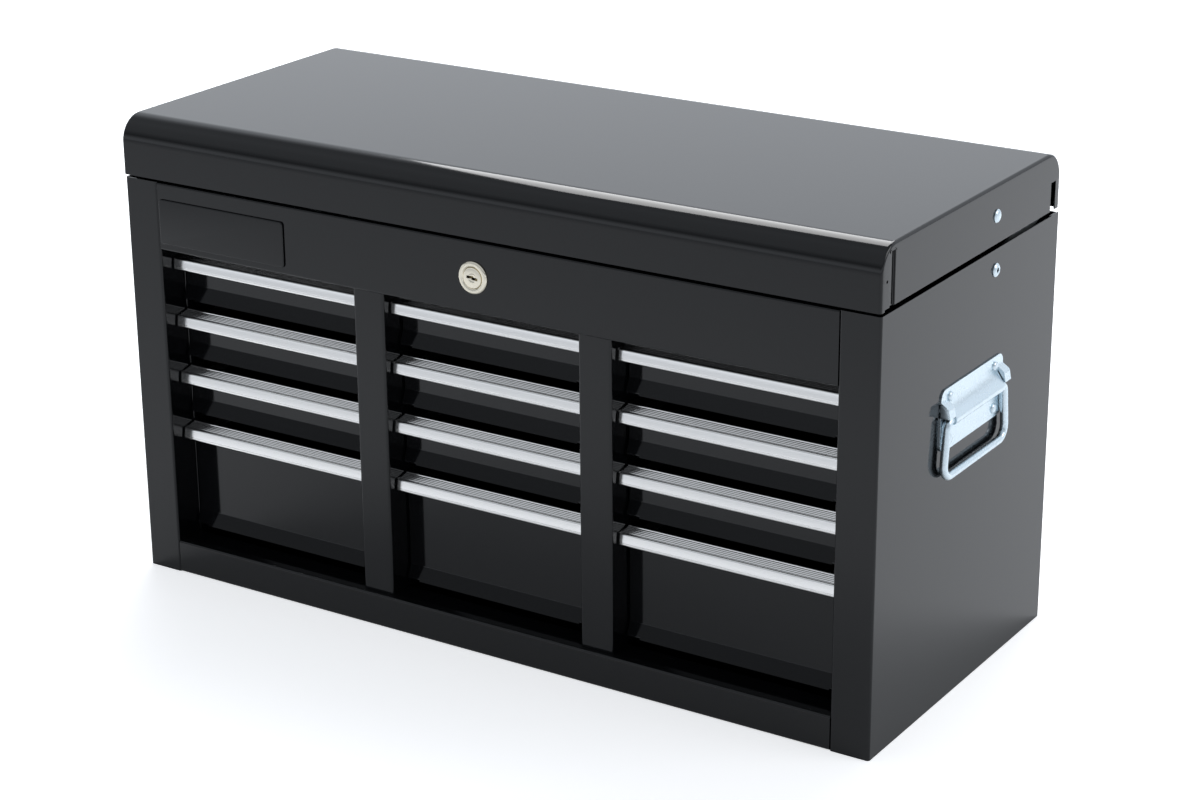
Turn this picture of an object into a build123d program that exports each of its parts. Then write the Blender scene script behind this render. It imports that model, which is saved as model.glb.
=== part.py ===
"""Machinist tool chest: twelve drawers in three columns under a hinged lid.

Millimetres, +Z up, +X to the right of someone facing the drawers, +Y to the back.
The origin is on the floor, at the centre of the chest's outline.
"""
import os
from math import atan2, cos, degrees, hypot, radians, sin, sqrt

from build123d import *

os.makedirs("parts", exist_ok=True)

# ---------------------------------------------------------------- driving sizes
# Chest and sheet metal
chest_width = 660.0
body_depth = 286.0
body_height = 329.0
lid_height = 48.3  # body's top edge to the lid's top
sheet = 1.0  # cabinet and lid sheet
bend = 2.0  # outside radius of a folded edge

# Front frame
post_width = 31.5
post_return = 26.0  # how far the post's inner edge turns back
header_height = 55.0
rail_height = 27.0
rail_foot = 40.0  # depth of the rail's bottom flange
divider_width = 28.0
divider_recess = 5.0
outer_opening = 184.0  # clear width of the left and right columns
base_lift = 1.0  # base pan above the floor

# Drawers
drawer_sheet = 0.9
front_gap = 1.5  # drawer front to the frame, each side
front_recess = 27.0  # flat of a drawer front behind the chest's front
flare = 5.0  # how far the bottom edge of a front kicks out
flare_height = 11.3
slide_space = 12.7  # between a drawer's side and the slide wall
pan_length = 235.0
drawer_travel = 190.0
row_count = 4
row_pitch = 47.6
top_lip_drop = 19.2  # header to the lower edge of the top row's pull
shallow_drop = 27.1  # pull's lower edge to the drawer's bottom
deep_rise = 8.0  # bottom rail to the deep drawers' bottom

# Channels that carry the drawers' flanges
channel_reach = 11.9
channel_sheet = 1.0
channel_length = 240.0
channel_start = 30.0
flange_lip = 5.0
slide_gap = 0.3  # flange to channel, above and below
flange_end_gap = 0.6  # flange to the channel's web

# Pulls
pull_depth = 14.1
pull_height = 11.8
pull_wall = 1.2
pull_lip = 2.0
pull_tuck = 1.1  # how far the lower edge curls back
pull_face = 8.2  # height of the flat front face
pull_lean = 0.9
shoulder_rise = 9.5
shoulder_back = 2.6
pull_grip = 7.0  # how far the clip reaches down the drawer front
clip_gap = 0.05

# Lid and hinge
lid_gap = 2.5  # body to the lid's front edge
lid_proud = 1.5
lid_roll = 22.0
lid_side_lift = 1.5  # side edges above the front edge
lid_back_lift = 2.5  # back edge above the front edge
lid_hem = 8.0
end_depth = 3.0
drain_y = 6.5
drain_rise = 20.5
drain_radius = 1.2
groove_start = 12.0
groove_width = 4.0
groove_depth = 1.4
notch_start = 270.0
notch_height = 22.0
hinge_length = 600.0
hinge_radius = 2.3
hinge_leaf = 0.8
hinge_leaf_width = 20.0
pin_radius = 1.25
running_gap = 0.05
knuckle_pairs = 12
knuckle_end_gap = 0.3

# Lid stays
body_stud_y = 178.0
body_stud_drop = 15.5  # below the body's top edge
lid_stud_y = 176.5
lid_stud_rise = 25.0  # above the body's top edge
lid_angle = 92.0  # full opening
stay_slack = 0.5  # what is left of the stay's reach at full opening
stay_width = 12.0
stay_sheet = 1.5
stay_gap = 0.4
stay_clear = 1.6  # side sheet to the outer link
stud_radius = 2.0
stud_play = 0.1
washer_radius = 3.5  # steps on a stud that keep the links apart
button_height = 1.6  # stud heads outside the sheet
body_button = 5.0
lid_button = 4.5
snap_height = 1.2  # heads that close a link's joint
knee_button = 3.6

# Side handles
plate_length = 101.0
plate_height = 47.0
plate_sheet = 1.2
plate_corner = 7.0
plate_behind = 1.75  # centre behind the middle of the side
plate_drop = 105.5  # centre below the body's top edge
bail_rod = 3.0
bail_out = 4.5  # rod axis off the side sheet
pivot_rise = 0.5  # rod axis above the plate's centre
bail_top_half = 46.5
bail_bottom_half = 51.3
bail_drop = 42.3
bail_top_bend = 6.0
bail_bottom_bend = 10.0
barrel_half = 40.0
barrel_rise = 11.0
ear_rise = 13.5
ear_start = 41.0
ear_clear = 0.15
ear_bulge = 3.5
rivet_y = 36.5
rivet_z = 16.3
rivet_head = 3.5
rivet_shank = 2.0
rivet_height = 1.6
rivet_tail = 1.5
ear_inset = 0.8

# Lock and badge plate
lock_drop = 27.5  # below the body's top edge
lock_radius = 11.0
bezel_radius = 12.5
bezel_proud = 2.0
lock_length = 18.0
plug_radius = 8.0
plug_recess = 0.2
key_slot = 9.0
key_slot_width = 1.6
cam_length = 23.0
cam_width = 12.0
nut_radius = 14.5
nut_height = 4.0
bezel_chamfer = 0.8
plug_play = 0.4  # housing to cam
cam_sheet = 2.0
key_depth = 8.0
badge_left = 2.0  # from the post's edge
badge_width = 122.0
badge_drop = 49.0  # lower edge below the body's top edge
badge_height = 36.0
badge_sheet = 1.2
badge_corner = 1.5

# ---------------------------------------------------------------- derived places
overall_height = body_height + lid_height
half = chest_width / 2
hinge_out = hinge_radius - sheet - hinge_leaf  # hinge axis behind the back sheet
depth_overall = bezel_proud + body_depth + hinge_out + hinge_radius
front = bezel_proud - depth_overall / 2  # the posts' front faces
back = front + body_depth
opening_bottom = rail_height
opening_top = body_height - header_height
top_lip_z = opening_top - top_lip_drop
deep_bottom = rail_height + deep_rise
lock_z = body_height - lock_drop
badge_bottom = body_height - badge_drop
body_stud_z = body_height - body_stud_drop
lid_stud_z = body_height + lid_stud_rise
plate_y = body_depth / 2 + plate_behind
plate_z = body_height - plate_drop
pivot_z = plate_z + pivot_rise
post_edge = half - post_width
divider_x = post_edge - outer_opening - divider_width / 2
middle_opening = 2 * divider_x - divider_width
slide_wall_depth = back - sheet
columns = [
    (-(post_edge - outer_opening / 2), outer_opening),
    (0.0, middle_opening),
    (post_edge - outer_opening / 2, outer_opening),
]
rows = []
for row in range(row_count):
    row_lip = top_lip_z - row * row_pitch
    row_bottom = deep_bottom if row == row_count - 1 else row_lip - shallow_drop
    rows.append((row_lip, row_bottom))
front_y = front + front_recess
lip_y = front_y - pull_depth
grip_drop = pull_height - pull_wall - 0.4  # front's top edge above the pull's lower edge
pan_top_rise = 1.7  # pan's side above the pull's lower edge
hinge_y = back + hinge_out
hinge_z = body_height + lid_gap
lid_front = front - lid_proud
floor_z = opening_top + sheet


def save(piece, label):
    piece.part.label = label
    export_step(piece.part, f"parts/{label}.step")


def folded(points, thickness, side, radius=bend):
    """Closed outline of a sheet that is folded along the points."""
    with BuildLine() as outline:
        FilletPolyline(*points, radius=radius)
        offset(amount=thickness, side=side)
    return outline.edges()


# ---------------------------------------------------------------- cabinet
# Each side sheet wraps round the front corner and ends as the post's inner return.
handle_holes = [(dy, dz) for dy in (-rivet_y, rivet_y) for dz in (-rivet_z, rivet_z)]
for name, s in (("left", -1), ("right", 1)):
    with BuildPart() as side_panel:
        with BuildSketch():
            path = [
                (s * half, back),
                (s * half, front),
                (s * post_edge, front),
                (s * post_edge, front + post_return),
            ]
            make_face(folded(path, sheet, Side.LEFT if s < 0 else Side.RIGHT))
        extrude(amount=body_height)
        with BuildSketch(Plane.YZ.offset(s * half)):
            with Locations(*[(front + plate_y + dy, plate_z + dz) for dy, dz in handle_holes]):
                Circle(rivet_shank + running_gap)
            with Locations((front + body_stud_y, body_stud_z)):
                Circle(stud_radius + running_gap)
        extrude(amount=-s * 2 * sheet, mode=Mode.SUBTRACT)
    save(side_panel, f"side_{name}")

# The back stands between the sides, with a flange against each.
back_flange = 13.0
with BuildPart() as back_panel:
    with BuildSketch():
        inner = half - sheet
        path = [(-inner, back - back_flange), (-inner, back), (inner, back), (inner, back - back_flange)]
        make_face(folded(path, sheet, Side.RIGHT))
    extrude(amount=body_height)
save(back_panel, "back_panel")

# The base sheet lies on the rail's foot and reaches back to the back panel.
pan_half = half - sheet - bend  # clear of the back panel's folds
base_front = front + front_recess
with BuildPart() as base_pan:
    with BuildSketch(Plane.XY.offset(base_lift)):
        with Locations((0, (base_front + slide_wall_depth) / 2)):
            Rectangle(2 * pan_half, slide_wall_depth - base_front)
    extrude(amount=sheet)
save(base_pan, "base_pan")

with BuildPart() as bottom_rail:
    with BuildSketch(Plane.YZ):
        path = [
            (front + rail_foot, 0),
            (front, 0),
            (front, rail_height),
            (front + post_return, rail_height),
        ]
        make_face(folded(path, sheet, Side.RIGHT))
    extrude(amount=post_edge, both=True)
save(bottom_rail, "bottom_rail")

header_turn = 12.0  # depth of the header's top flange
with BuildPart() as header:
    with BuildSketch(Plane.YZ):
        path = [
            (front + post_return, opening_top),
            (front, opening_top),
            (front, body_height),
            (front + header_turn, body_height),
        ]
        make_face(folded(path, sheet, Side.RIGHT))
    extrude(amount=post_edge, both=True)
    with BuildSketch(Plane.XZ.offset(-front)):
        with Locations((0, lock_z)):
            Circle(lock_radius + running_gap)
    extrude(amount=-2 * sheet, mode=Mode.SUBTRACT)
save(header, "header")

# Each divider is a deep channel: its web shows in front, its walls carry the channels.
for name, s in (("left", -1), ("right", 1)):
    with BuildPart() as divider:
        with BuildSketch(Plane.XY.offset(opening_bottom)):
            near = s * divider_x - divider_width / 2
            far = s * divider_x + divider_width / 2
            path = [
                (near, slide_wall_depth),
                (near, front + divider_recess),
                (far, front + divider_recess),
                (far, slide_wall_depth),
            ]
            make_face(folded(path, sheet, Side.LEFT))
        extrude(amount=opening_top - opening_bottom)
    save(divider, f"divider_{name}")

# Behind each post a liner carries the outer channels, in line with the post's edge.
liner_flange = 12.0
for name, s in (("left", -1), ("right", 1)):
    with BuildPart() as liner:
        with BuildSketch(Plane.XY.offset(base_lift + sheet)):
            path = [
                (s * (post_edge + liner_flange), front_y),
                (s * post_edge, front_y),
                (s * post_edge, slide_wall_depth - sheet),
                (s * (post_edge + liner_flange), slide_wall_depth - sheet),
            ]
            make_face(folded(path, sheet, Side.LEFT if s < 0 else Side.RIGHT))
        extrude(amount=floor_z - base_lift - sheet)
    save(liner, f"liner_{name}")

# The till's floor lies on the header's lower flange and on the liners.
with BuildPart() as till_floor:
    with BuildSketch(Plane.XY.offset(floor_z)):
        main_depth = slide_wall_depth - front_y
        with Locations((0, front_y + main_depth / 2)):
            Rectangle(2 * pan_half, main_depth)
        with Locations((0, front + bend + front_recess / 2)):
            Rectangle(2 * (post_edge - sheet), front_recess)
    extrude(amount=sheet)
save(till_floor, "till_floor")

# ---------------------------------------------------------------- drawer channels
# A C-shaped channel on each slide wall takes the flange of a drawer's side.
flange_low = flange_lip + slide_gap + channel_sheet  # channel's underside below the pan's top
flange_high = slide_gap + channel_sheet
with BuildPart() as runners:
    for column_x, opening in columns:
        for s in (-1, 1):
            wall_x = column_x + s * opening / 2
            for row_lip, row_bottom in rows:
                pan_top = row_lip + pan_top_rise
                with BuildSketch(Plane.XZ.offset(-(front + channel_start))):
                    path = [
                        (wall_x - s * channel_reach, pan_top + flange_high),
                        (wall_x, pan_top + flange_high),
                        (wall_x, pan_top - flange_low),
                        (wall_x - s * channel_reach, pan_top - flange_low),
                    ]
                    make_face(folded(path, channel_sheet, Side.RIGHT if s > 0 else Side.LEFT, radius=1.3))
                extrude(amount=-channel_length)
save(runners, "runners")

# ---------------------------------------------------------------- drawers and pulls
for column, (column_x, opening) in enumerate(columns, start=1):
    front_width = opening - 2 * front_gap
    pan_width = opening - 2 * slide_space
    for row, (row_lip, row_bottom) in enumerate(rows, start=1):
        pan_top = row_lip + pan_top_rise
        front_top = row_lip + grip_drop
        pan_back = front_y + pan_length
        toe_y = front_y - flare

        # The pan is folded from one sheet, and its front is wider than the pan.
        with BuildPart(Plane.YZ.offset(column_x)) as drawer:
            with BuildSketch(Plane.YZ.offset(column_x)):
                Polygon(
                    (toe_y, row_bottom),
                    (pan_back, row_bottom),
                    (pan_back, pan_top),
                    (front_y, pan_top),
                    (front_y, row_bottom + flare_height),
                    align=None,
                )
            extrude(amount=pan_width / 2, both=True)
            offset(amount=-drawer_sheet, openings=drawer.faces().sort_by(Axis.Z)[-1])
            with BuildSketch(Plane.YZ.offset(column_x)):
                path = [
                    (front_y + flare_height, row_bottom),
                    (toe_y, row_bottom),
                    (front_y, row_bottom + flare_height),
                    (front_y, front_top),
                ]
                make_face(folded(path, drawer_sheet, Side.RIGHT, radius=1.2))
            extrude(amount=front_width / 2, both=True)
            # Flanges turned out and down along both sides ride in the channels.
            flange_start = front + channel_start + 2 * slide_gap
            flange_reach = slide_space - channel_sheet - flange_end_gap
            with BuildSketch(Plane.XZ.offset(-flange_start)):
                for s in (-1, 1):
                    pan_side = column_x + s * pan_width / 2
                    tip = pan_side + s * flange_reach
                    with Locations((pan_side + s * flange_reach / 2, pan_top - drawer_sheet / 2)):
                        Rectangle(flange_reach, drawer_sheet)
                    with Locations((tip - s * drawer_sheet / 2, pan_top - flange_lip / 2)):
                        Rectangle(drawer_sheet, flange_lip)
            extrude(amount=-(pan_back - flange_start))
        save(drawer, f"drawer_r{row}c{column}")

        # The pull is one extrusion: rolled lip, ribbed top and a clip over the front's edge.
        with BuildPart() as pull:
            with BuildSketch(Plane.YZ.offset(column_x)):
                clip_front = front_y - clip_gap - pull_wall
                clip_back = front_y + drawer_sheet + clip_gap + pull_wall
                clip_low = row_lip + pull_height - pull_grip - pull_wall
                heel = (lip_y + pull_tuck, row_lip)
                toe = (lip_y, row_lip + pull_lip)
                brow = (lip_y + pull_lean, row_lip + pull_face)
                shoulder = (lip_y + shoulder_back, row_lip + shoulder_rise)
                crest = (clip_front - 0.4, row_lip + pull_height)
                with BuildLine():
                    ThreePointArc(heel, (lip_y + pull_tuck / 4, row_lip + pull_lip / 3), toe)
                    Line(toe, brow)
                    ThreePointArc(brow, (lip_y + 1.45, row_lip + 9.1), shoulder)
                    Polyline(
                        shoulder,
                        crest,
                        (clip_back, row_lip + pull_height),
                        (clip_back, clip_low),
                        (clip_back - pull_wall, clip_low),
                        (clip_back - pull_wall, front_top + clip_gap),
                        (front_y - clip_gap, front_top + clip_gap),
                        (front_y - clip_gap, clip_low),
                        (clip_front, clip_low),
                        (clip_front, row_lip + pull_height - 2 * pull_wall),
                        (shoulder[0] + pull_wall, shoulder[1] - 1.5 * pull_wall),
                        (brow[0] + pull_wall, row_lip + pull_face - pull_wall),
                        (heel[0] + pull_wall, row_lip),
                        heel,
                    )
                make_face()
                # Fine grooves run along the sloping top.
                rib_count = 5
                for rib in range(rib_count):
                    part_way = (rib + 1) / (rib_count + 1)
                    rib_y = shoulder[0] + part_way * (crest[0] - shoulder[0])
                    rib_z = shoulder[1] + part_way * (crest[1] - shoulder[1])
                    with Locations((rib_y, rib_z)):
                        Rectangle(0.6, 0.7, rotation=20, mode=Mode.SUBTRACT)
            extrude(amount=front_width / 2, both=True)
        save(pull, f"pull_r{row}c{column}")

# ---------------------------------------------------------------- lid
lid_width = chest_width
with BuildPart() as lid_shell:
    with BuildSketch(Plane.YZ):
        with BuildLine():
            roll_z = overall_height - lid_roll
            Line((back, hinge_z), (lid_front, hinge_z))
            Line((lid_front, hinge_z), (lid_front, roll_z))
            RadiusArc((lid_front, roll_z), (lid_front + lid_roll, overall_height), lid_roll)
            Line((lid_front + lid_roll, overall_height), (back - lid_roll, overall_height))
            RadiusArc((back - lid_roll, overall_height), (back, roll_z), lid_roll)
            Line((back, roll_z), (back, hinge_z))
        make_face()
    extrude(amount=lid_width / 2, both=True)
    rim = lid_shell.faces().sort_by(Axis.X)[0].edges() + lid_shell.faces().sort_by(Axis.X)[-1].edges()
    fillet([edge for edge in rim if edge.center().Z > hinge_z + 1], 1.5)
    offset(amount=-sheet, openings=lid_shell.faces().sort_by(Axis.Z)[0])
    # Doubling strips inside, then the groove and the hinge notch in each side.
    groove_top = overall_height - lid_roll / 3
    with BuildSketch(Plane.YZ.offset(-half + sheet)):
        with Locations((front + groove_start + groove_width / 2, (hinge_z + groove_top) / 2)):
            Rectangle(3 * groove_width, groove_top - hinge_z - 2)
    extrude(amount=groove_depth)
    with BuildSketch(Plane.YZ.offset(half - sheet)):
        with Locations((front + groove_start + groove_width / 2, (hinge_z + groove_top) / 2)):
            Rectangle(3 * groove_width, groove_top - hinge_z - 2)
    extrude(amount=-groove_depth)
    for s in (-1, 1):
        with BuildSketch(Plane.YZ.offset(s * half)):
            with Locations((front + groove_start + groove_width / 2, (hinge_z + groove_top) / 2)):
                Rectangle(groove_width, groove_top - hinge_z)
        extrude(amount=-s * groove_depth, mode=Mode.SUBTRACT)
        with BuildSketch(Plane.YZ.offset(s * half)):
            notch_top = hinge_z + lid_side_lift + notch_height
            with Locations((front + notch_start, notch_top)):
                Rectangle(body_depth - notch_start - sheet - 0.5, notch_height + 5, align=(Align.MIN, Align.MAX))
            with Locations((front + lid_stud_y, lid_stud_z)):
                Circle(stud_radius + running_gap)
        extrude(amount=-s * 2 * sheet, mode=Mode.SUBTRACT)
    # Side and back edges stand a little higher than the front edge.
    with BuildSketch(Plane.YZ):
        with Locations((front + 4, hinge_z)):
            Rectangle(body_depth, lid_side_lift, align=(Align.MIN, Align.MIN))
        with Locations((back - 2 * sheet, hinge_z)):
            Rectangle(2 * sheet + 1, lid_back_lift, align=(Align.MIN, Align.MIN))
    extrude(amount=half + 1, both=True, mode=Mode.SUBTRACT)
    # The front edge is hemmed: folded up flat against the inside.
    with BuildSketch(Plane.XY.offset(hinge_z)):
        with Locations((0, lid_front + 1.5 * sheet)):
            Rectangle(lid_width - 4 * sheet, sheet)
    extrude(amount=lid_hem)
    # A small drain hole near the front of each end.
    for s in (-1, 1):
        with BuildSketch(Plane.YZ.offset(s * half)):
            with Locations((front + drain_y, hinge_z + drain_rise)):
                Circle(drain_radius)
        extrude(amount=-s * 2 * sheet, mode=Mode.SUBTRACT)
# The rolled top and the two ends are welded along a seam just inside each end.
seam = half - end_depth
for label, low_x, high_x in (
    ("lid_end_left", -half - end_depth, -seam),
    ("lid_top", -seam, seam),
    ("lid_end_right", seam, half + end_depth),
):
    with BuildPart() as lid_piece:
        add(lid_shell.part)
        with Locations(((low_x + high_x) / 2, 0, hinge_z)):
            Box(high_x - low_x, 2 * depth_overall, 4 * lid_height, mode=Mode.INTERSECT)
    save(lid_piece, label)

# ---------------------------------------------------------------- piano hinge
knuckle = hinge_length / (2 * knuckle_pairs)
for name, z_side, first in (("body", -1, 0), ("lid", 1, 1)):
    own = [-hinge_length / 2 + (2 * i + first + 0.5) * knuckle for i in range(knuckle_pairs)]
    other = [-hinge_length / 2 + (2 * i + 1 - first + 0.5) * knuckle for i in range(knuckle_pairs)]
    with BuildPart() as leaf:
        with BuildSketch(Plane.YZ):
            with Locations((hinge_y - hinge_radius + hinge_leaf / 2, hinge_z + z_side * hinge_leaf_width / 2)):
                Rectangle(hinge_leaf, hinge_leaf_width)
        extrude(amount=hinge_length / 2, both=True)
        for x in other:
            with BuildSketch(Plane.YZ.offset(x)):
                with Locations((hinge_y, hinge_z)):
                    Circle(hinge_radius + knuckle_end_gap)
            extrude(amount=knuckle / 2, both=True, mode=Mode.SUBTRACT)
        for x in own:
            with BuildSketch(Plane.YZ.offset(x)):
                with Locations((hinge_y, hinge_z)):
                    Circle(hinge_radius)
            extrude(amount=(knuckle - knuckle_end_gap) / 2, both=True)
        with BuildSketch(Plane.YZ):
            with Locations((hinge_y, hinge_z)):
                Circle(pin_radius + running_gap)
        extrude(amount=hinge_length, both=True, mode=Mode.SUBTRACT)
    save(leaf, f"hinge_leaf_{name}")

with BuildPart() as hinge_pin:
    with BuildSketch(Plane.YZ):
        with Locations((hinge_y, hinge_z)):
            Circle(pin_radius)
    extrude(amount=hinge_length / 2, both=True)
save(hinge_pin, "hinge_pin")

# ---------------------------------------------------------------- folding lid stays
# Two equal links: folded back towards the hinge when shut, almost straight when open.
body_stud = (front + body_stud_y, body_stud_z)
lid_stud = (front + lid_stud_y, lid_stud_z)
swing = radians(-lid_angle)
arm_y, arm_z = lid_stud[0] - hinge_y, lid_stud[1] - hinge_z
open_stud = (
    hinge_y + arm_y * cos(swing) - arm_z * sin(swing),
    hinge_z + arm_y * sin(swing) + arm_z * cos(swing),
)
open_span = hypot(open_stud[0] - body_stud[0], open_stud[1] - body_stud[1])
link_length = (open_span + stay_slack) / 2
shut_y, shut_z = lid_stud[0] - body_stud[0], lid_stud[1] - body_stud[1]
shut_span = hypot(shut_y, shut_z)
knee_out = sqrt(link_length**2 - (shut_span / 2) ** 2)
knee = (
    body_stud[0] + shut_y / 2 + knee_out * shut_z / shut_span,
    body_stud[1] + shut_z / 2 - knee_out * shut_y / shut_span,
)
upper_x = half - sheet - stay_clear  # outer face of the upper link
lower_x = upper_x - stay_sheet - stay_gap  # outer face of the lower link


def stay_link(label, face_x, s, start, end, bores):
    """A flat link with round ends, its outer face at face_x, bored at both ends."""
    angle = degrees(atan2(end[1] - start[1], end[0] - start[0]))
    length = hypot(end[0] - start[0], end[1] - start[1])
    with BuildPart() as link:
        with BuildSketch(Plane.YZ.offset(s * face_x)):
            with Locations(((start[0] + end[0]) / 2, (start[1] + end[1]) / 2)):
                SlotCenterToCenter(length, stay_width, rotation=angle)
            for point, radius in zip((start, end), bores):
                with Locations(point):
                    Circle(radius, mode=Mode.SUBTRACT)
        extrude(amount=-s * stay_sheet)
    save(link, label)


free_bore = stud_radius + running_gap
for name, s in (("left", -1), ("right", 1)):
    stay_link(f"stay_lower_{name}", lower_x, s, body_stud, knee, (free_bore, free_bore))
    stay_link(f"stay_upper_{name}", upper_x, s, knee, lid_stud, (free_bore, free_bore))
    with BuildPart() as knee_rivet:
        with BuildSketch(Plane.YZ.offset(s * (upper_x + snap_height))):
            with Locations(knee):
                Circle(knee_button)
        extrude(amount=-s * (snap_height - running_gap))
        with BuildSketch(Plane.YZ.offset(s * (upper_x + running_gap))):
            with Locations(knee):
                Circle(stud_radius)
        extrude(amount=-s * (2 * stay_sheet + stay_gap + 2 * running_gap))
        with BuildSketch(Plane.YZ.offset(s * (lower_x - stay_sheet - running_gap))):
            with Locations(knee):
                Circle(knee_button)
        extrude(amount=-s * (snap_height - running_gap))
    save(knee_rivet, f"knee_rivet_{name}")

# Studs: the body stud carries the lower link; the lid stud ends short of the upper link.
with BuildPart() as body_studs:
    for s in (-1, 1):
        for start_x, end_x, radius in (
            (half + button_height, half, body_button),
            (half, half - sheet, stud_radius),
            (half - sheet, lower_x + stud_play, washer_radius),
            (lower_x + stud_play, lower_x - stay_sheet - stud_play, stud_radius),
            (lower_x - stay_sheet - stud_play, lower_x - stay_sheet - stud_play - snap_height, washer_radius),
        ):
            with BuildSketch(Plane.YZ.offset(s * start_x)):
                with Locations(body_stud):
                    Circle(radius)
            extrude(amount=-s * (start_x - end_x))
save(body_studs, "body_studs")

with BuildPart() as lid_studs:
    for s in (-1, 1):
        for start_x, end_x, radius in (
            (half + button_height, half, lid_button),
            (half, half - sheet, stud_radius),
            (half - sheet, upper_x + stay_gap, washer_radius),
        ):
            with BuildSketch(Plane.YZ.offset(s * start_x)):
                with Locations(lid_stud):
                    Circle(radius)
            extrude(amount=-s * (start_x - end_x))
save(lid_studs, "lid_studs")

# ---------------------------------------------------------------- side handles
handle_y = front + plate_y
for name, s in (("left", -1), ("right", 1)):
    axis_x = s * (half + bail_out)
    with BuildPart() as plate:
        with BuildSketch(Plane.YZ.offset(s * half)):
            with Locations((handle_y, plate_z)):
                RectangleRounded(plate_length, plate_height, plate_corner)
        extrude(amount=s * plate_sheet)
        # Pressed barrel round the bail's rod, ramped into the plate above it.
        for wall, mode in ((plate_sheet, Mode.ADD), (0.0, Mode.SUBTRACT)):
            grip = bail_rod + running_gap + wall
            with BuildSketch(Plane.XZ.offset(-handle_y)):
                with Locations((axis_x, pivot_z)):
                    Circle(grip)
                with Locations((s * (half + 0.5), pivot_z + (barrel_rise + wall - grip) / 2)):
                    Rectangle(1.0, barrel_rise + wall + grip)
                make_hull()
            extrude(amount=barrel_half, both=True, mode=mode)
        # Ears above the bail's shoulders stop it when it stands straight out.
        for t in (-1, 1):
            ear_end = plate_length / 2
            ear_middle = handle_y + t * (ear_start + ear_end) / 2
            for wall, mode in ((plate_sheet, Mode.ADD), (0.0, Mode.SUBTRACT)):
                grip = bail_rod + running_gap + wall
                ear_low = pivot_z + bail_rod + ear_clear
                with BuildSketch(Plane.XZ.offset(-ear_middle)):
                    with Locations((axis_x, pivot_z)):
                        Circle(grip)
                    with Locations((axis_x - s * ear_inset, pivot_z + ear_rise - ear_bulge - plate_sheet)):
                        Circle(ear_bulge - plate_sheet + wall)
                    with Locations((s * (half + 0.5), pivot_z + (ear_rise + wall) / 2)):
                        Rectangle(1.0, ear_rise + wall)
                    make_hull()
                    with Locations((axis_x, ear_low)):
                        Rectangle(plate_height, plate_height, align=(Align.CENTER, Align.MAX), mode=Mode.SUBTRACT)
                extrude(amount=(ear_end - ear_start) / 2, both=True, mode=mode)
        with BuildSketch(Plane.YZ.offset(s * half)):
            with Locations(*[(handle_y + dy, plate_z + dz) for dy, dz in handle_holes]):
                Circle(rivet_shank + running_gap)
        extrude(amount=s * plate_sheet, mode=Mode.SUBTRACT)
    save(plate, f"handle_plate_{name}")

    with BuildPart() as bail:
        with BuildLine(Plane.YZ.offset(axis_x)) as loop:
            FilletPolyline(
                (handle_y + bail_top_half, pivot_z),
                (handle_y + bail_bottom_half, pivot_z - bail_drop),
                (handle_y - bail_bottom_half, pivot_z - bail_drop),
                (handle_y - bail_top_half, pivot_z),
                radius=(bail_top_bend, bail_bottom_bend, bail_bottom_bend, bail_top_bend),
                close=True,
            )
        with BuildSketch(Plane(origin=loop.line @ 0, z_dir=loop.line % 0)):
            Circle(bail_rod)
        sweep()
    save(bail, f"bail_{name}")

with BuildPart() as handle_rivets:
    for s in (-1, 1):
        for dy, dz in handle_holes:
            with BuildSketch(Plane.YZ.offset(s * (half + plate_sheet))):
                with Locations((handle_y + dy, plate_z + dz)):
                    Circle(rivet_head)
            extrude(amount=s * rivet_height, taper=25)
            with BuildSketch(Plane.YZ.offset(s * (half - sheet - rivet_tail))):
                with Locations((handle_y + dy, plate_z + dz)):
                    Circle(rivet_shank)
            extrude(amount=s * (sheet + rivet_tail + plate_sheet))
save(handle_rivets, "handle_rivets")

# ---------------------------------------------------------------- cam lock and badge plate
with BuildPart() as lock_housing:
    with BuildSketch(Plane.XZ.offset(-front)):
        with Locations((0, lock_z)):
            Circle(bezel_radius)
    extrude(amount=bezel_proud)
    chamfer(lock_housing.faces().sort_by(Axis.Y)[0].edges(), bezel_chamfer)
    with BuildSketch(Plane.XZ.offset(-front)):
        with Locations((0, lock_z)):
            Circle(lock_radius)
    extrude(amount=-lock_length)
    with BuildSketch(Plane.XZ.offset(-front)):
        with Locations((0, lock_z)):
            Circle(plug_radius + running_gap)
    extrude(amount=2 * lock_length, both=True, mode=Mode.SUBTRACT)
save(lock_housing, "lock_housing")

with BuildPart() as lock_nut:
    with BuildSketch(Plane.XZ.offset(-(front + sheet))):
        with Locations((0, lock_z)):
            RegularPolygon(nut_radius, 6)
            Circle(lock_radius, mode=Mode.SUBTRACT)
    extrude(amount=-nut_height)
save(lock_nut, "lock_nut")

plug_front = front - bezel_proud + plug_recess
cam_y = front + lock_length + plug_play
with BuildPart() as lock_plug:
    with BuildSketch(Plane.XZ.offset(-plug_front)):
        with Locations((0, lock_z)):
            Circle(plug_radius)
    extrude(amount=-(cam_y - plug_front))
    with BuildSketch(Plane.XZ.offset(-plug_front)):
        with Locations((0, lock_z)):
            SlotOverall(key_slot, key_slot_width)
    extrude(amount=-key_depth, mode=Mode.SUBTRACT)
save(lock_plug, "lock_plug")

with BuildPart() as lock_cam:
    with BuildSketch(Plane.XZ.offset(-cam_y)):
        with Locations((0, lock_z - (cam_length - cam_width / 2) / 2)):
            SlotCenterToCenter(cam_length - cam_width / 2, cam_width, rotation=90)
    extrude(amount=-cam_sheet)
save(lock_cam, "lock_cam")

with BuildPart() as badge_plate:
    with BuildSketch(Plane.XZ.offset(-front)):
        badge_x = -post_edge + badge_left + badge_width / 2
        with Locations((badge_x, badge_bottom + badge_height / 2)):
            RectangleRounded(badge_width, badge_height, badge_corner)
    extrude(amount=badge_sheet)
save(badge_plate, "badge_plate")
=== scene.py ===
"""Looks of the machinist tool chest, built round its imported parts. Metres, +Z up, the drawers face -Y."""

import math

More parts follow.
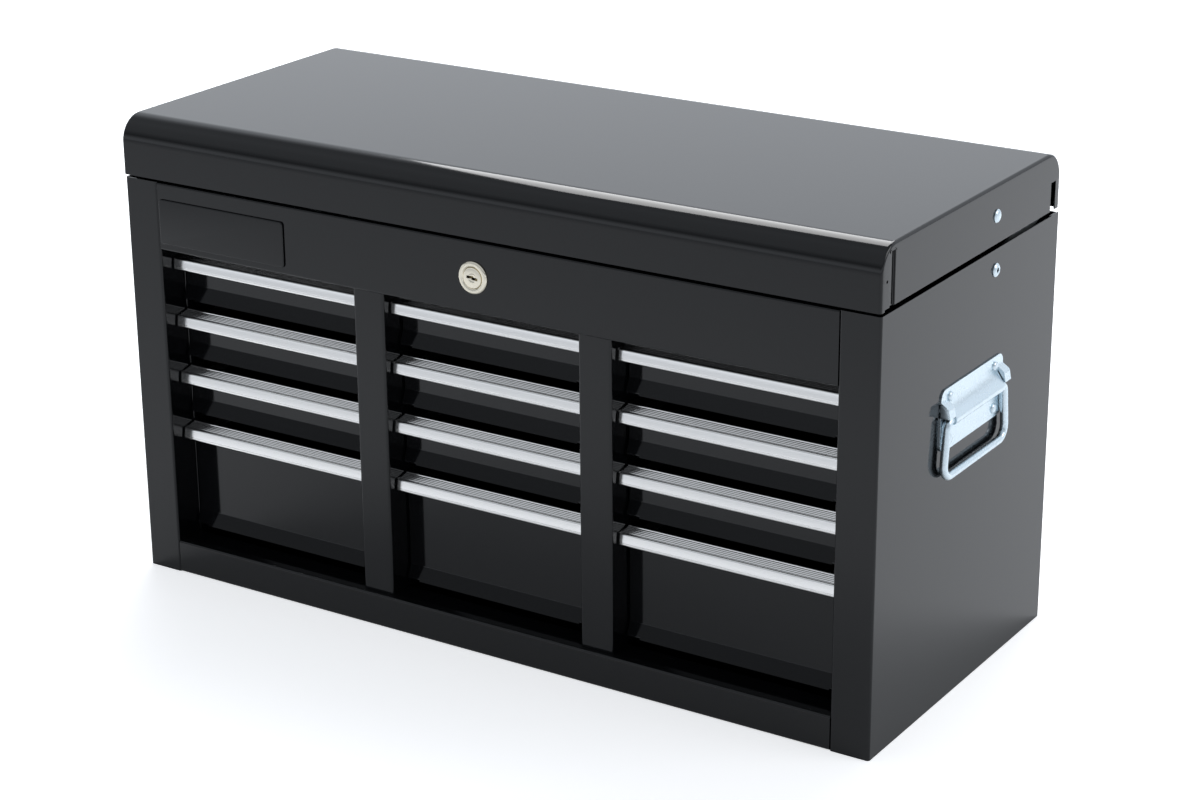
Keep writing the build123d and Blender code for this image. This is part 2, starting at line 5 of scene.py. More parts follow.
import bmesh
import bpy
from mathutils import Matrix, Vector


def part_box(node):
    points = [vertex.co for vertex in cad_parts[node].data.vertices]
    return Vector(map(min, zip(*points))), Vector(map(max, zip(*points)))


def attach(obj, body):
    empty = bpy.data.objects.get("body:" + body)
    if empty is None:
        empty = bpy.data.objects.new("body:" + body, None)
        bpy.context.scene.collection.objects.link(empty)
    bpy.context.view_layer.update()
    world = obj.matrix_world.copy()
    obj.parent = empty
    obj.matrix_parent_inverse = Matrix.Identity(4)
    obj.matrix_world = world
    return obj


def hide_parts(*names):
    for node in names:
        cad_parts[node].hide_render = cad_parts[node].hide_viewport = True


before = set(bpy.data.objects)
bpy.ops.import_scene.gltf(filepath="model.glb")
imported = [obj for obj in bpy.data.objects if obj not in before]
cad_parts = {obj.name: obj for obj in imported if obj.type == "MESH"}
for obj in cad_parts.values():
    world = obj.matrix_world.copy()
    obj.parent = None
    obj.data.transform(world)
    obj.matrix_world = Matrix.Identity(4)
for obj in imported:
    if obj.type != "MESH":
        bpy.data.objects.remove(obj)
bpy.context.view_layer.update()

# ---------------------------------------------------------------- the photograph's view
# A long lens stands to the right of the chest, above it, and looks down on the lid and the front.
# It has no shift and a very slight roll.
view = bpy.data.cameras.new("view")
view.lens = 84.134
view.sensor_width = 36.0
view.clip_end = 60.0
camera = bpy.data.objects.new("camera", view)
camera.location = (1.120594, -1.722265, 0.926384)
camera.rotation_euler = [math.radians(angle) for angle in (69.5749, 0.4048, 32.5174)]
bpy.context.scene.collection.objects.link(camera)
bpy.context.scene.camera = camera
bpy.context.scene.view_settings.view_transform = "Standard"

# ---------------------------------------------------------------- pressed steel cabinet
# Sides, back, front frame, dividers and floors are folded from 1 mm sheet and spot welded.
# All of it is sprayed and baked in glossy black enamel, which rounds every cut edge a little.
mm = 0.001
same_point = 0.002 * mm
flat_within, corner_from = math.radians(0.8), math.radians(40)


def linear(code):
    """An sRGB hex colour as the linear colour that a shader takes."""
    parts = [int(code[i : i + 2], 16) / 255 for i in (1, 3, 5)]
    return [p / 12.92 if p <= 0.04045 else ((p + 0.055) / 1.055) ** 2.4 for p in parts] + [1.0]


def add(tree, kind, values=None, links=None, **settings):
    """Adds a node to a material, with its settings, its inputs' values and its links."""
    node = tree.nodes.new(kind)
    for name, value in settings.items():
        setattr(node, name, value)
    for name, value in (values or {}).items():
        node.inputs[name].default_value = value
    for name, source in (links or {}).items():
        tree.links.new(source, node.inputs[name])
    return node


def finish_of(name):
    """A new material and its node tree, emptied."""
    material = bpy.data.materials.new(name)
    material.use_nodes = True
    material.node_tree.nodes.clear()
    return material, material.node_tree


def coat_nodes(nodes, material):
    """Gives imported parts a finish."""
    for name in nodes:
        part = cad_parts[name]
        part.data.materials.clear()
        part.data.materials.append(material)


def piece_from(shape, name, material, body, stands_for=()):
    """A finished mesh as a piece of the chest, which rides on a body."""
    data = bpy.data.meshes.new(name)
    shape.to_mesh(data)
    shape.free()
    data.materials.append(material)
    data.shade_smooth()
    piece = bpy.data.objects.new(name, data)
    bpy.context.scene.collection.objects.link(piece)
    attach(piece, body)
    for node in stands_for:
        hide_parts(node)
    return piece


def round_off(shape, parts, radius, steps, affect="EDGES", clamp=False):
    """Rounds edges or corners of a mesh in a number of steps."""
    bmesh.ops.bevel(
        shape,
        geom=parts,
        offset=radius,
        segments=steps,
        profile=0.5,
        affect=affect,
        clamp_overlap=clamp,
        material=-1,
    )


def softened(node, material, body, edge):
    """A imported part's own shape with its sharp edges rounded, as paint and tumbling leave them."""
    shape = bmesh.new()
    shape.from_mesh(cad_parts[node].data)
    bmesh.ops.remove_doubles(shape, verts=shape.verts, dist=same_point)
    bmesh.ops.dissolve_limit(shape, angle_limit=flat_within, verts=shape.verts, edges=shape.edges)
    corners = [e for e in shape.edges if len(e.link_faces) == 2 and e.calc_face_angle(0) > corner_from]
    round_off(shape, corners, edge, 2, clamp=True)
    piece = piece_from(shape, f"{node}_sheet", material, body, [node])
    piece.modifiers.new("even_light", "WEIGHTED_NORMAL").keep_sharp = True


enamel_black = "#0a0b0d"
orange_peel, haze_patch = 2.6 * mm, 90 * mm
paint_edge = 0.25 * mm

# Baked gloss enamel: deep black, a soft sheen at a low angle and the ripple of sprayed paint.
baked_enamel, tree = finish_of("baked_black_enamel")
place = add(tree, "ShaderNodeTexCoord")
ripple = add(
    tree,
    "ShaderNodeTexNoise",
    {"Scale": 1 / orange_peel, "Detail": 1.0, "Roughness": 0.4},
    {"Vector": place.outputs["Object"]},
)
haze = add(
    tree,
    "ShaderNodeTexNoise",
    {"Scale": 1 / haze_patch, "Detail": 4.0, "Roughness": 0.6},
    {"Vector": place.outputs["Object"]},
)
sheen = add(tree, "ShaderNodeMapRange", {"To Min": 0.06, "To Max": 0.11}, {"Value": haze.outputs["Fac"]})
bump = add(
    tree,
    "ShaderNodeBump",
    {"Strength": 0.08, "Distance": 0.04 * mm},
    {"Height": ripple.outputs["Fac"]},
)
paint = add(
    tree,
    "ShaderNodeBsdfPrincipled",
    {"Base Color": linear(enamel_black), "IOR": 1.46},
    {"Roughness": sheen.outputs["Result"], "Normal": bump.outputs["Normal"]},
)
add(tree, "ShaderNodeOutputMaterial", links={"Surface": paint.outputs["BSDF"]})

for name in (
    "side_left", "side_right", "back_panel", "base_pan", "bottom_rail",
    "header", "divider_left", "divider_right", "till_floor",
):
    softened(name, baked_enamel, "cabinet", paint_edge)
coat_nodes(["liner_left", "liner_right"], baked_enamel)

# ---------------------------------------------------------------- drawer channels
# Roll formed steel channels are spot welded to the slide walls, four to each face of a wall.
# They are plain zinc plated and carry the drawers' side flanges.
zinc_grey = "#b4b9bc"
crystal_size = 4 * mm

# Dull zinc plate: grey, hazy in its shine, with the faint crystal of the bath.
dull_zinc, tree = finish_of("dull_zinc_plate")
place = add(tree, "ShaderNodeTexCoord")
crystal = add(
    tree,
    "ShaderNodeTexNoise",
    {"Scale": 1 / crystal_size, "Detail": 5.0},
    {"Vector": place.outputs["Object"]},
)
sheen = add(tree, "ShaderNodeMapRange", {"To Min": 0.3, "To Max": 0.5}, {"Value": crystal.outputs["Fac"]})
metal = add(
    tree,
    "ShaderNodeBsdfPrincipled",
    {"Base Color": linear(zinc_grey), "Metallic": 1.0},
    {"Roughness": sheen.outputs["Result"]},
)
add(tree, "ShaderNodeOutputMaterial", links={"Surface": metal.outputs["BSDF"]})
coat_nodes(["runners"], dull_zinc)

# ---------------------------------------------------------------- drawers
# Each drawer is one folded blank with a wider front, a kicked out toe and a flange along each side.
# It has the same black enamel, inside and out.
drawer_edge = 0.2 * mm
drawers = [f"r{row}c{column}" for row in (1, 2, 3, 4) for column in (1, 2, 3)]
for name in drawers:
    softened(f"drawer_{name}", baked_enamel, f"drawer_{name}", drawer_edge)

# ---------------------------------------------------------------- drawer pulls
# One aluminium extrusion for each drawer, ribbed on top, bright dipped and clipped over the front's edge.
# The die leaves fine lines along its whole length.
dipped_white = "#f8f7f5"
line_length, line_width = 90 * mm, 0.5 * mm

# Bright dipped aluminium: nearly white, with fine streaks of more and less gloss along its length.
bright_aluminium, tree = finish_of("bright_dipped_aluminium")
place = add(tree, "ShaderNodeTexCoord")
grain = add(
    tree,
    "ShaderNodeMapping",
    {"Scale": (1 / line_length, 1 / line_width, 1 / line_width)},
    {"Vector": place.outputs["Object"]},
)
lines = add(tree, "ShaderNodeTexNoise", {"Scale": 1.0, "Detail": 3.0}, {"Vector": grain.outputs["Vector"]})
sheen = add(tree, "ShaderNodeMapRange", {"To Min": 0.12, "To Max": 0.22}, {"Value": lines.outputs["Fac"]})
bump = add(
    tree,
    "ShaderNodeBump",
    {"Strength": 0.05, "Distance": 0.03 * mm},
    {"Height": lines.outputs["Fac"]},
)
metal = add(
    tree,
    "ShaderNodeBsdfPrincipled",
    {"Base Color": linear(dipped_white), "Metallic": 1.0},
    {"Roughness": sheen.outputs["Result"], "Normal": bump.outputs["Normal"]},
)
add(tree, "ShaderNodeOutputMaterial", links={"Surface": metal.outputs["BSDF"]})


def drawn(profile, low, high):
    """A closed profile of (y, z) points drawn out along X, as an extrusion is."""
    shape = bmesh.new()
    rim = [shape.verts.new((low, y, z)) for y, z in profile]
    shape.faces.new(rim)
    pushed = bmesh.ops.extrude_face_region(shape, geom=shape.faces[:])["geom"]
    far_end = [v for v in pushed if isinstance(v, bmesh.types.BMVert)]
    bmesh.ops.translate(shape, verts=far_end, vec=(high - low, 0, 0))
    bmesh.ops.recalc_face_normals(shape, faces=shape.faces)
    return shape


def sharp_edges(piece, degrees=35):
    """Keeps the corners of a drawn, turned or cut piece crisp."""
    piece.data.set_sharp_from_angle(angle=math.radians(degrees))


# The section, in millimetres from the pull's lower front corner: a rolled lip, a fine line, the flat
# face, the shoulder and its line, five ribs up to the crest, and the clip over the front's edge.
lip = [
    (1.1, 0.0), (0.62, 0.12), (0.26, 0.5), (0.04, 1.05), (-0.03, 1.6),
    (0.08, 2.0), (0.5, 2.12), (0.5, 2.55), (0.1, 2.7),
]
face = [(0.78, 8.0), (0.95, 8.6), (1.3, 9.05), (1.8, 9.32), (2.35, 9.42), (2.45, 8.8)]
rib_count, rib_run, rib_rise = 5, 1.9, 0.42
rib_foot = (2.75, 8.8)
rib_steps = [(0.0, 0.0), (0.38, 0.5), (0.6, 0.62), (1.15, 0.62), (1.45, 0.35), (1.6, -0.1)]
ribs = []
for rib in range(rib_count):
    foot = Vector((rib_foot[0] + rib * rib_run, rib_foot[1] + rib * rib_rise))
    ribs += [tuple(foot + Vector(step)) for step in rib_steps]
clip = [
    (12.3, 10.9), (12.34, 11.3), (12.46, 11.62), (12.75, 11.8), (15.9, 11.8), (16.25, 11.45),
    (16.25, 3.6), (15.05, 3.6), (15.05, 10.35), (13.95, 10.35), (13.95, 3.6), (12.75, 3.6),
    (12.75, 9.4), (3.8, 7.7), (2.1, 6.9), (2.3, 0.0),
]
section = lip + face + ribs + clip
for name in drawers:
    low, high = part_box(f"pull_{name}")
    outline = [(low[1] + y * mm, low[2] + z * mm) for y, z in section]
    pull = drawn(outline, low[0], high[0])
    pull = piece_from(
        pull, f"pull_{name}_section", bright_aluminium, f"drawer_{name}", [f"pull_{name}"]
    )
    sharp_edges(pull, 38)

# ---------------------------------------------------------------- lid
# One rolled sheet with ends welded in and ground flush, a pressed groove down each end near the front,
# and a notch at the back for the hinge. It is enamelled with the body.
lid_half, lid_front, lid_back = 330 * mm, -144.9 * mm, 142.6 * mm
lid_low, lid_high, lid_roll, lid_rim = 331.5 * mm, 377.3 * mm, 20.5 * mm, 2.3 * mm
lid_wall, lid_edge = 1 * mm, 0.45 * mm
end_low, back_low, end_from = 333 * mm, 332.7 * mm, -139.4 * mm
groove_from, groove_to, groove_high = -132.0 * mm, -125.6 * mm, 371.5 * mm
groove_deep, groove_round = 1.5 * mm, 1.25 * mm
notch_from, notch_to, notch_high = 126.6 * mm, 134.8 * mm, 355 * mm
drain_y, drain_z, drain_radius = -136.9 * mm, 352 * mm, 1.2 * mm
drain_area = 6 * mm * mm
near, touching = 0.1 * mm, 0.01 * mm


def block(low, high):
    """A box between two corners, as the start of a piece."""
    shape = bmesh.new()
    low, high = Vector(low), Vector(high)
    stretch = Matrix.Translation((low + high) / 2) @ Matrix.Diagonal((*(high - low), 1.0))
    bmesh.ops.create_cube(shape, size=1.0, matrix=stretch)
    return shape


def end_faces(shape):
    """The flat faces at both ends of the lid."""
    flat = [f for f in shape.faces if abs(f.normal.x) > 0.99]
    return [f for f in flat if abs(f.calc_center_median().x) > lid_half - touching]


def drain_faces(shape):
    """The faces of the ends that lie round the middle of the small drain hole."""
    middles = [(f, f.calc_center_median()) for f in end_faces(shape)]
    return [f for f, middle in middles if abs(middle.y - drain_y) < near and abs(middle.z - drain_z) < near]


def once(parts):
    """Parts of a mesh, each one once, in an order that is the same at every run."""
    return list(dict.fromkeys(parts))


def score(shape, faces, point, normal):
    """Scores a straight line across some faces."""
    geometry = once(part for f in faces for part in (f, *f.edges, *f.verts))
    bmesh.ops.bisect_plane(shape, geom=geometry, dist=0.001 * mm, plane_co=point, plane_no=normal)


lid = block((-lid_half, lid_front, lid_low), (lid_half, lid_back, lid_high))
top_edges = [e for e in lid.edges if all(abs(v.co.z - lid_high) < touching for v in e.verts)]
long_edges = [e for e in top_edges if abs(e.verts[0].co.x - e.verts[1].co.x) > mm]
round_off(lid, long_edges, lid_roll, 20)
bmesh.ops.delete(lid, geom=[f for f in lid.faces if f.normal.z < -0.9], context="FACES_ONLY")
rim = once(e for f in end_faces(lid) for e in f.edges if len(e.link_faces) == 2)
round_off(lid, rim, lid_rim, 5)

# The outlines of the groove, the notch, the drain hole and the raised lower edges are scored first.
for height in (back_low, end_low):
    score(lid, lid.faces, (0, 0, height), (0, 0, 1))
for depth in (groove_from, groove_to, notch_from, notch_to, end_from):
    score(lid, end_faces(lid), (0, depth, 0), (0, 1, 0))
for depth in (drain_y - drain_radius, drain_y + drain_radius):
    score(lid, end_faces(lid), (0, depth, 0), (0, 1, 0))
for height in (groove_high, notch_high, drain_z - drain_radius, drain_z + drain_radius):
    score(lid, end_faces(lid), (0, 0, height), (0, 0, 1))
removed = []
for f in lid.faces:
    middle = f.calc_center_median()
    at_end = abs(middle.x) > lid_half - lid_rim - near and middle.y > end_from
    low_end = at_end and middle.z < end_low
    low_back = middle.y > lid_back - 2 * mm and middle.z < back_low
    notch = f in end_faces(lid) and notch_from < middle.y < notch_to and middle.z < notch_high
    if low_end or low_back or notch:
        removed.append(f)
bmesh.ops.delete(lid, geom=removed, context="FACES")

# The groove is pushed in at both ends and its corners drawn round by the press.
for side in (-1, 1):
    bottom = []
    for f in end_faces(lid):
        middle = f.calc_center_median()
        if f.normal.x * side > 0 and groove_from < middle.y < groove_to and middle.z < groove_high:
            bottom.append(f)
    pushed = bmesh.ops.extrude_face_region(lid, geom=bottom)["geom"]
    bmesh.ops.delete(lid, geom=bottom, context="FACES")
    pushed = [v for v in pushed if isinstance(v, bmesh.types.BMVert)]
    bmesh.ops.translate(lid, verts=pushed, vec=(-side * groove_deep, 0, 0))
bottom = [f for f in lid.faces if abs(f.normal.z) > 0.9 and f.calc_center_median().z < end_low + near]
bmesh.ops.delete(lid, geom=bottom, context="FACES")
drain_corners = once(v for f in drain_faces(lid) for v in f.verts)
round_off(lid, drain_corners, 0.99 * drain_radius, 5, affect="VERTICES", clamp=True)
drain = [f for f in drain_faces(lid) if f.calc_area() < drain_area]
bmesh.ops.delete(lid, geom=drain, context="FACES")
pressed = [
    e
    for e in lid.edges
    if len(e.link_faces) == 2
    and e.calc_face_angle(0) > math.radians(50)
    and groove_from - mm < e.verts[0].co.y < groove_to + mm
]
round_off(lid, pressed, groove_round, 5, clamp=True)
lid_piece = piece_from(
    lid, "lid_sheet", baked_enamel, "lid", ["lid_top", "lid_end_left", "lid_end_right"]
)
wall = lid_piece.modifiers.new("sheet_thickness", "SOLIDIFY")
wall.thickness, wall.offset, wall.use_even_offset = lid_wall, -1.0, True
rounded = lid_piece.modifiers.new("paint_edge", "BEVEL")
rounded.width, rounded.segments = lid_edge, 3
rounded.limit_method, rounded.angle_limit = "ANGLE", corner_from
lid_piece.modifiers.new("even_light", "WEIGHTED_NORMAL").keep_sharp = True

# The front edge's hem, folded up flat inside.
hem_half, hem_front, hem_back, hem_high = 326 * mm, -143.9 * mm, -142.9 * mm, 339.5 * mm
hem = block((-hem_half, hem_front, lid_low), (hem_half, hem_back, hem_high))
round_off(hem, hem.edges[:], 0.3 * mm, 2)
piece_from(hem, "lid_hem", baked_enamel, "lid")

# ---------------------------------------------------------------- hinge and lid stays
# A piano hinge is spot welded to the back and the lid; a folding stay at each side holds the lid open.
# All are zinc plated steel, and rivet heads show outside the sheet where the stays turn.
coat_nodes(["hinge_leaf_body", "hinge_leaf_lid", "hinge_pin"], dull_zinc)
for side in ("left", "right"):
    coat_nodes([f"stay_lower_{side}", f"stay_upper_{side}", f"knee_rivet_{side}"], dull_zinc)

# ---------------------------------------------------------------- side handles
# Pressed plates hold a bent rod; both are bright zinc plated with the bluish tint of that bath.
# Pan head rivets fix each plate to the side.
zinc_blue = "#d8e6ee"
cloud_size = 8 * mm
plate_edge, bail_edge, ear_edge = 0.3 * mm, 0.1 * mm, 0.3 * mm

# Blue bright zinc: a pale, cool and cloudy shine that shows neighbours only as soft shapes.
bright_zinc, tree = finish_of("blue_bright_zinc")
place = add(tree, "ShaderNodeTexCoord")
cloud = add(
    tree,
    "ShaderNodeTexNoise",
    {"Scale": 1 / cloud_size, "Detail": 4.0},
    {"Vector": place.outputs["Object"]},
)
sheen = add(tree, "ShaderNodeMapRange", {"To Min": 0.2, "To Max": 0.34}, {"Value": cloud.outputs["Fac"]})
metal = add(
    tree,
    "ShaderNodeBsdfPrincipled",
    {"Base Color": linear(zinc_blue), "Metallic": 1.0},
    {"Roughness": sheen.outputs["Result"]},
)
add(tree, "ShaderNodeOutputMaterial", links={"Surface": metal.outputs["BSDF"]})
for side in ("left", "right"):
    softened(f"handle_plate_{side}", bright_zinc, "cabinet", plate_edge)
    softened(f"bail_{side}", bright_zinc, f"bail_{side}", bail_edge)
coat_nodes(["handle_rivets"], bright_zinc)


def turned(points, centre, axis, steps=40):
    """A shape turned round an axis, from points (distance along the axis, radius)."""
    shape = bmesh.new()
    axis, centre = Vector(axis), Vector(centre)
    side = axis.orthogonal().normalized()
    corners = [shape.verts.new(centre + axis * along + side * radius) for along, radius in points]
    lines = [shape.edges.new(pair) for pair in zip(corners, corners[1:])]
    swept = corners + lines
    bmesh.ops.spin(shape, geom=swept, cent=centre, axis=axis, angle=math.tau, steps=steps, use_merge=True)
    bmesh.ops.remove_doubles(shape, verts=shape.verts, dist=0.001 * mm)
    bmesh.ops.recalc_face_normals(shape, faces=shape.faces)
    return shape


def scaled(points):
    """Points given in millimetres, in metres."""
    return [(along * mm, radius * mm) for along, radius in points]


def joined(shapes):
    """Several shapes as one."""
    whole = bmesh.new()
    for shape in shapes:
        data = bpy.data.meshes.new("part")
        shape.to_mesh(data)
        shape.free()
        whole.from_mesh(data)
        bpy.data.meshes.remove(data)
    return whole


# Places in millimetres: the side's outer face, the handle's middle, and its rivets' distances from that.
side_face, handle_y, rivets_z, swing_z = 330, 1.35, 223.5, 224
rivet_along, rivet_up = 36.5, 16.3
rivet_dome = scaled([
    (1.2, 0.0), (3.3, 0.0), (3.25, 1.0), (3.05, 2.0), (2.65, 2.9),
    (2.1, 3.5), (1.5, 3.75), (1.2, 3.6), (1.2, 0.0),
])
for side, sign in (("left", -1), ("right", 1)):
    heads = []
    for dy in (-rivet_along, rivet_along):
        for dz in (-rivet_up, rivet_up):
            spot = (sign * side_face * mm, (handle_y + dy) * mm, (rivets_z + dz) * mm)
            heads.append(turned(rivet_dome, spot, (sign, 0, 0), 28))
    sharp_edges(piece_from(joined(heads), f"handle_rivet_heads_{side}", bright_zinc, "cabinet"))

# The ends of the plate's ears are drawn shut, clear of the bail's shoulders below them.
ear_end = scaled([
    (0.6, 3.3), (7.9, 3.3), (7.2, 7.6), (6.95, 9.6), (6.2, 11.1),
    (5.0, 12.0), (3.6, 12.35), (2.2, 12.6), (0.6, 13.2),
])
ear_places, half_cap = (-50.2, -41.6, 41.6, 50.2), 0.5
for side, sign in (("left", -1), ("right", 1)):
    caps = []
    for end in ear_places:
        cap = drawn(ear_end, (end - half_cap) * mm, (end + half_cap) * mm)
        bmesh.ops.rotate(cap, verts=cap.verts, cent=(0, 0, 0), matrix=Matrix.Rotation(-math.pi / 2, 3, "Z"))
        bmesh.ops.scale(cap, verts=cap.verts, vec=(sign, 1, 1))
        bmesh.ops.translate(cap, verts=cap.verts, vec=(sign * side_face * mm, handle_y * mm, swing_z * mm))
        caps.append(cap)
    caps = joined(caps)
    bmesh.ops.recalc_face_normals(caps, faces=caps.faces)
    round_off(caps, caps.edges[:], ear_edge, 2)
    piece_from(caps, f"handle_ear_ends_{side}", bright_zinc, "cabinet")

# Studs that the stays turn on: the lid's heads are solid, the body's are hollow rivets.
inner_end = [(-8.2, 0.0), (-8.2, 3.4), (-7.9, 3.7), (-7.2, 3.7), (-7.0, 3.4), (-7.0, 2.4)]
solid_stud = inner_end + [
    (0.0, 2.4), (0.0, 4.95), (0.45, 5.0), (1.1, 4.6), (1.7, 3.6), (2.05, 2.2), (2.15, 0.9), (2.15, 0.0),
]
hollow_stud = inner_end + [
    (0.0, 2.4), (0.0, 5.1), (0.6, 5.15), (1.3, 4.7), (1.9, 3.7), (2.2, 2.9), (2.15, 2.2), (1.8, 1.75),
    (-4.5, 1.7), (-4.5, 0.0),
]
for node, points, body in (("lid_studs", solid_stud, "lid"), ("body_studs", hollow_stud, "cabinet")):
    low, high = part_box(node)
    y, z = (low[1] + high[1]) / 2, (low[2] + high[2]) / 2
    pair = [turned(scaled(points), (sign * side_face * mm, y, z), (sign, 0, 0), 40) for sign in (-1, 1)]
    sharp_edges(piece_from(joined(pair), f"{node}_turned", bright_zinc, body, [node]))

# ---------------------------------------------------------------- cam lock
# A nickel plated die casting goes through the header, with a turning plug in it.
# A nut holds it behind the sheet, and a cam on the plug's end turns with the key.
warm_nickel = "#efe8d6"
cast_grain = 0.5 * mm

# Nickel plate: bright and faintly yellow, over the fine pebble of the casting.
nickel, tree = finish_of("nickel_plate")
place = add(tree, "ShaderNodeTexCoord")
cast = add(
    tree,
    "ShaderNodeTexNoise",
    {"Scale": 1 / cast_grain, "Detail": 3.0},
    {"Vector": place.outputs["Object"]},
)
bump = add(
    tree,
    "ShaderNodeBump",
    {"Strength": 0.25, "Distance": 0.03 * mm},
    {"Height": cast.outputs["Fac"]},
)
metal = add(
    tree,
    "ShaderNodeBsdfPrincipled",
    {"Base Color": linear(warm_nickel), "Metallic": 1.0, "Roughness": 0.14},
    {"Normal": bump.outputs["Normal"]},
)
add(tree, "ShaderNodeOutputMaterial", links={"Surface": metal.outputs["BSDF"]})
coat_nodes(["lock_nut", "lock_cam"], nickel)

lock_place, lock_axis = (0.0, -143.4 * mm, 301.5 * mm), (0, -1, 0)
bezel_line = scaled([
    (-18, 8.1), (-18, 11), (0, 11), (0, 12.5), (0.7, 12.5), (1.1, 12.35), (1.75, 11.6),
    (2.0, 10.9), (2.0, 9.3), (1.75, 9.0), (1.55, 8.6), (1.2, 8.2), (0.6, 8.1), (-18, 8.1),
])
bezel = turned(bezel_line, lock_place, lock_axis, 72)
sharp_edges(piece_from(bezel, "lock_bezel", nickel, "cabinet", ["lock_housing"]), 50)

# The plug has a shallow dish round a stepped keyway.
plug_line = scaled([
    (-18.3, 0), (-18.3, 7.95), (1.2, 7.95), (1.6, 7.8), (1.75, 7.4), (1.75, 3.5), (1.55, 3.2), (1.25, 2.6),
    (1.15, 1.8), (1.15, 0),
])
plug = turned(plug_line, lock_place, lock_axis, 72)
plug_piece = piece_from(plug, "lock_plug_face", nickel, "lock_plug", ["lock_plug"])
key_front, key_back = -146 * mm, -136 * mm
keyway = joined([
    block((-4.8 * mm, key_front, 300.9 * mm), (0.8 * mm, key_back, 302.9 * mm)),
    block((-0.8 * mm, key_front, 299.9 * mm), (4.8 * mm, key_back, 301.9 * mm)),
])
cutter_data = bpy.data.meshes.new("keyway")
keyway.to_mesh(cutter_data)
keyway.free()
cutter = bpy.data.objects.new("keyway", cutter_data)
bpy.context.scene.collection.objects.link(cutter)
slot = plug_piece.modifiers.new("keyway", "BOOLEAN")
slot.operation, slot.object, slot.solver, slot.use_self = "DIFFERENCE", cutter, "EXACT", True
cut_plug = bpy.data.meshes.new_from_object(plug_piece.evaluated_get(bpy.context.evaluated_depsgraph_get()))
plug_piece.modifiers.clear()
plug_piece.data = cut_plug
bpy.data.objects.remove(cutter)
sharp_edges(plug_piece, 30)

# ---------------------------------------------------------------- badge plate
# A bare blank with rounded corners and a soft rim, in the same gloss black as the header.
# Tape behind it, set in from its edge, holds it beside the left post.
low, high = (Vector(corner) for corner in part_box("badge_plate"))
badge_corner, badge_rim = 2.5 * mm, 0.9 * mm
plate = block(low - Vector((0, 0.5 * mm, 0)), high - Vector((0, 0.6 * mm, 0)))
upright = [e for e in plate.edges if abs(e.verts[0].co.y - e.verts[1].co.y) > 0.5 * mm]
round_off(plate, upright, badge_corner, 6)
face_rim = [e for e in plate.edges if all(v.co.y < low.y - 0.4 * mm for v in e.verts)]
round_off(plate, face_rim, badge_rim, 5)
inset = Vector((badge_rim, 0, badge_rim))
tape = block(low + inset + Vector((0, 0.3 * mm, 0)), high - inset)
blank = joined([plate, tape])
badge = piece_from(blank, "badge_blank", baked_enamel, "cabinet", ["badge_plate"])
sharp_edges(badge, 50)

# ---------------------------------------------------------------- floor, backdrop and lamps
# The chest stands on a white sweep. The main light hangs above and behind it, so the lid shines
# and the front stays deep; the ceiling in front is dim.
floor_half = 15.0
paper_white, cool_air = "#e9ebee", "#f1f7ff"
floor_shown, floor_mirrored = 0.6, 0.14
room_on_matt = 0.5

floor_shape = bmesh.new()
bmesh.ops.create_grid(floor_shape, x_segments=1, y_segments=1, size=floor_half)
floor_data = bpy.data.meshes.new("floor")
floor_shape.to_mesh(floor_data)
floor_shape.free()
floor = bpy.data.objects.new("floor", floor_data)
bpy.context.scene.collection.objects.link(floor)

# White paper: matt, and lifted to clear white where the camera or a shiny piece sees it.
white_sweep, tree = finish_of("white_paper_sweep")
ray = add(tree, "ShaderNodeLightPath")
paper = add(tree, "ShaderNodeBsdfDiffuse", {"Color": linear(paper_white)})
mirrored = add(
    tree, "ShaderNodeMath", {1: floor_mirrored}, {0: ray.outputs["Is Glossy Ray"]}, operation="MULTIPLY"
)
strength = add(
    tree,
    "ShaderNodeMath",
    {1: floor_shown},
    {0: ray.outputs["Is Camera Ray"], 2: mirrored.outputs[0]},
    operation="MULTIPLY_ADD",
)
glow = add(tree, "ShaderNodeEmission", {"Color": (1, 1, 1, 1)}, {"Strength": strength.outputs[0]})
lift = add(tree, "ShaderNodeAddShader", links={0: paper.outputs["BSDF"], 1: glow.outputs["Emission"]})
add(tree, "ShaderNodeOutputMaterial", links={"Surface": lift.outputs["Shader"]})
floor_data.materials.append(white_sweep)

# The room as shiny pieces see it. In front it is white at the horizon and dim above that; behind,
# it stays white until high up. A Mix node's factor, two values and two colours go by number.
factor, value_a, value_b, colour_a, colour_b = 0, 2, 3, 6, 7
world = bpy.data.worlds.new("studio")
bpy.context.scene.world = world
world.use_nodes = True
tree = world.node_tree
tree.nodes.clear()
ray = add(tree, "ShaderNodeLightPath")
direction = add(tree, "ShaderNodeTexCoord")
split = add(tree, "ShaderNodeSeparateXYZ", links={0: direction.outputs["Generated"]})
height, depth = split.outputs["Z"], split.outputs["Y"]
behind = add(
    tree,
    "ShaderNodeMapRange",
    {"From Min": 0.6, "From Max": 0.75, "To Min": 1.0, "To Max": 0.35},
    {"Value": height},
)
horizon = add(
    tree,
    "ShaderNodeMapRange",
    {"From Min": 0.1, "From Max": 0.26, "To Min": 0.95, "To Max": 0.27},
    {"Value": height},
)
overhead = add(
    tree,
    "ShaderNodeMapRange",
    {"From Min": 0.3, "From Max": 0.5, "To Min": 0.0, "To Max": 0.3},
    {"Value": height},
)
before = add(
    tree,
    "ShaderNodeMath",
    links={0: horizon.outputs["Result"], 1: overhead.outputs["Result"]},
    operation="ADD",
)
side_of_room = add(tree, "ShaderNodeMapRange", {"From Min": -0.15, "From Max": 0.25}, {"Value": depth})
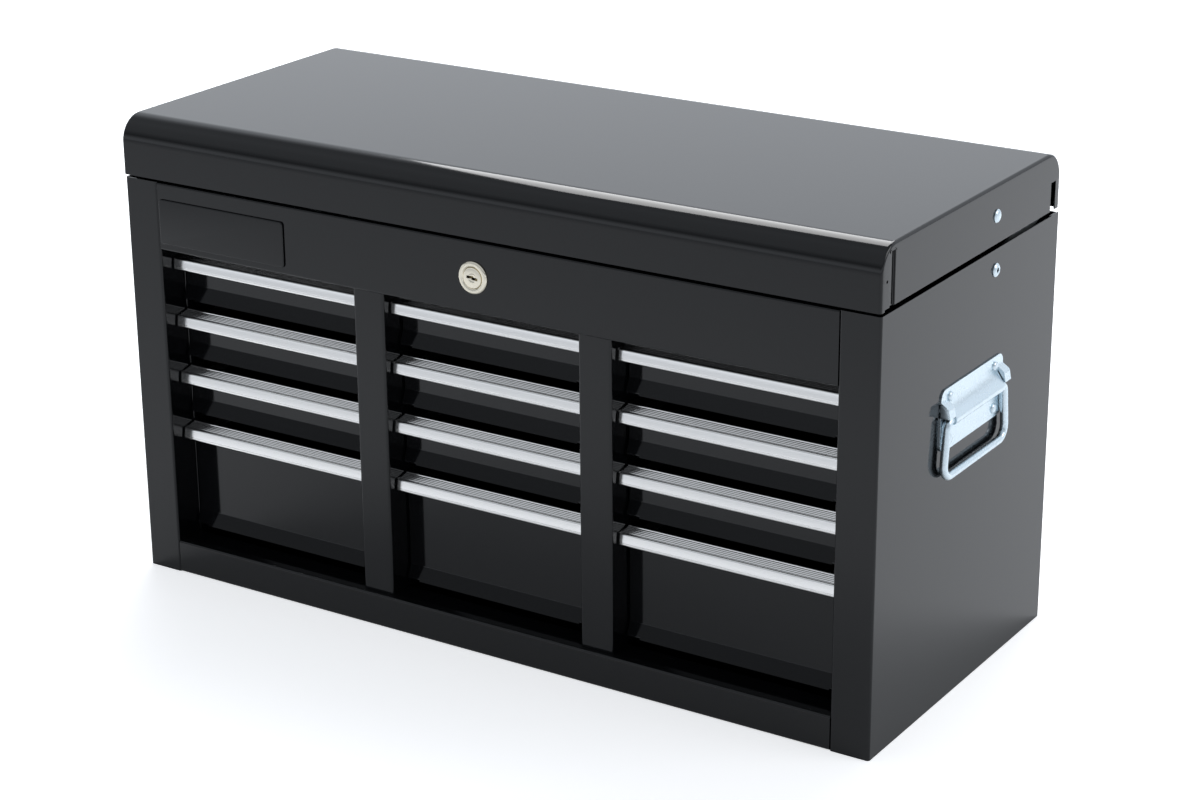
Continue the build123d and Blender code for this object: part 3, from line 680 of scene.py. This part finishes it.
room = add(
    tree,
    "ShaderNodeMix",
    links={
        factor: side_of_room.outputs["Result"],
        value_a: before.outputs[0],
        value_b: behind.outputs["Result"],
    },
)
mirrored = add(
    tree,
    "ShaderNodeMix",
    {value_a: room_on_matt},
    {factor: ray.outputs["Is Glossy Ray"], value_b: room.outputs[0]},
)

# The camera sees it plain white; everything else gets slightly cool air.
shown = add(
    tree,
    "ShaderNodeMath",
    links={0: ray.outputs["Is Camera Ray"], 1: ray.outputs["Is Transmission Ray"]},
    operation="MAXIMUM",
)
level = add(tree, "ShaderNodeMix", {value_b: 1.0}, {factor: shown.outputs[0], value_a: mirrored.outputs[0]})
tint = add(
    tree,
    "ShaderNodeMix",
    {colour_a: linear(cool_air), colour_b: (1, 1, 1, 1)},
    {factor: shown.outputs[0]},
    data_type="RGBA",
)
sky = add(tree, "ShaderNodeBackground", links={"Color": tint.outputs[2], "Strength": level.outputs[0]})
add(tree, "ShaderNodeOutputWorld", links={"Surface": sky.outputs["Background"]})

# Each soft box: place, size, brightness of its face, and the point that it faces.
for name, spot, size, brightness, aim in (
    ("backdrop_box", (-1.2, 3.2, 1.3), (5.0, 1.6), 0.16, (-0.2, 0.0, 0.6)),
    ("right_box", (2.6, 0.6, 1.9), (1.6, 1.6), 2.2, (0.7, 0.3, 0.0)),
):
    lamp = bpy.data.lights.new(name, "AREA")
    lamp.shape = "RECTANGLE"
    lamp.size, lamp.size_y = size
    lamp.energy = brightness * math.pi * size[0] * size[1]
    box = bpy.data.objects.new(name, lamp)
    box.location = spot
    box.rotation_euler = (Vector(aim) - Vector(spot)).to_track_quat("-Z", "Y").to_euler()
    bpy.context.scene.collection.objects.link(box)

# The largest box hangs level and turned, so that its edge runs out along the lid's front roll.
top_size, top_brightness, top_turn = 2.0, 5.6, math.radians(28)
lamp = bpy.data.lights.new("top_box", "AREA")
lamp.size, lamp.energy = top_size, top_brightness * math.pi * top_size * top_size
box = bpy.data.objects.new("top_box", lamp)
box.location, box.rotation_euler = (-0.64, 1.58, 2.15), (0, 0, top_turn)
bpy.context.scene.collection.objects.link(box)
